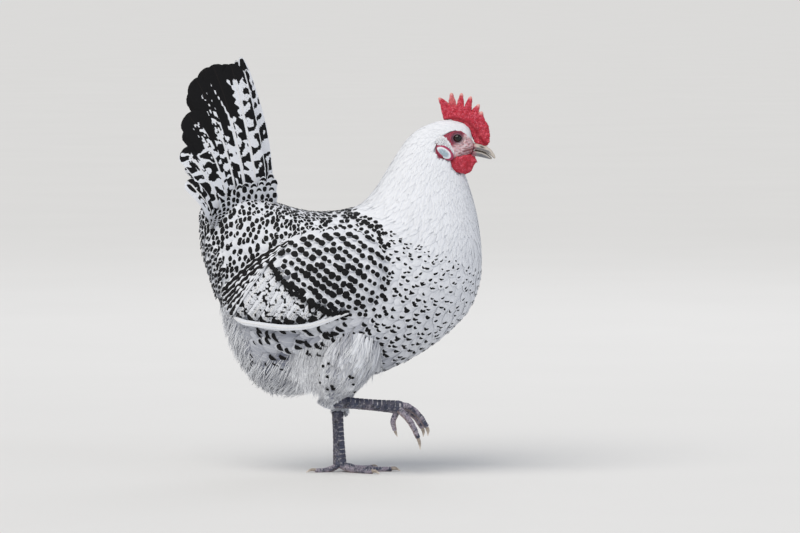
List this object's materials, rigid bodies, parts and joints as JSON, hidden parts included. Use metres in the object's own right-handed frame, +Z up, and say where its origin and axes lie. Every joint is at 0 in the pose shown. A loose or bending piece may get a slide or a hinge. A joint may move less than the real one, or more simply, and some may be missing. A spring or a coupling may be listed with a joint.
{
  "type": "walking domestic hen with silver-pencilled plumage",
  "caption": "Life-size standing hen with a white neck, black-flecked body and wings, upright tail, red single comb and slate legs, one leg raised in a step.",
  "frame": {"origin": "on the floor under the middle of the bird's bounding box", "axes": "+X toward the bill, +Y toward the bird's left side, +Z up"},
  "size_m": [0.3524, 0.1608, 0.467],
  "materials": {
    "plumage_white": "soft white hackle feathers",
    "plumage_pencilled": "white feathers with black spots and bars",
    "plumage_fluff": "loose pale grey-white down",
    "plumage_black": "black feather markings with a slight sheen",
    "tail_feather": "stiff tail feathers, black and white",
    "comb_skin": "granular matt red skin",
    "wattle_skin": "smooth deep red skin",
    "face_skin": "wrinkled pink-red bare skin",
    "lobe_skin": "smooth bluish white skin",
    "bill_horn": "satin horn, slate with an ivory tip",
    "eye_gloss": "wet dark brown",
    "leg_scales": "slate-blue scales with pale edges",
    "claw_horn": "satin pale horn"
  },
  "bodies": {
    "root": {"trunk": "plumage_pencilled", "neck": "plumage_white", "head": "plumage_white", "comb": "comb_skin", "beak_upper": "bill_horn", "beak_lower": "bill_horn", "eye_left": "eye_gloss", "wattle_left": "wattle_skin", "earlobe_left": "lobe_skin", "wing_left": "plumage_pencilled", "tail_left": "tail_feather", "thigh_left": "plumage_fluff", "shank_left": "leg_scales", "toe_1_left": "leg_scales", "claw_1_left": "claw_horn", "toe_2_left": "leg_scales", "claw_2_left": "claw_horn", "toe_3_left": "leg_scales", "claw_3_left": "claw_horn", "toe_4_left": "leg_scales", "claw_4_left": "claw_horn", "eye_right": "eye_gloss", "wattle_right": "wattle_skin", "earlobe_right": "lobe_skin", "wing_right": "plumage_pencilled", "tail_right": "tail_feather", "thigh_right": "plumage_fluff", "shank_right": "leg_scales", "toe_1_right": "leg_scales", "claw_1_right": "claw_horn", "toe_2_right": "leg_scales", "claw_2_right": "claw_horn", "toe_3_right": "leg_scales", "claw_3_right": "claw_horn", "toe_4_right": "leg_scales", "claw_4_right": "claw_horn"}
  },
  "joints": []
}
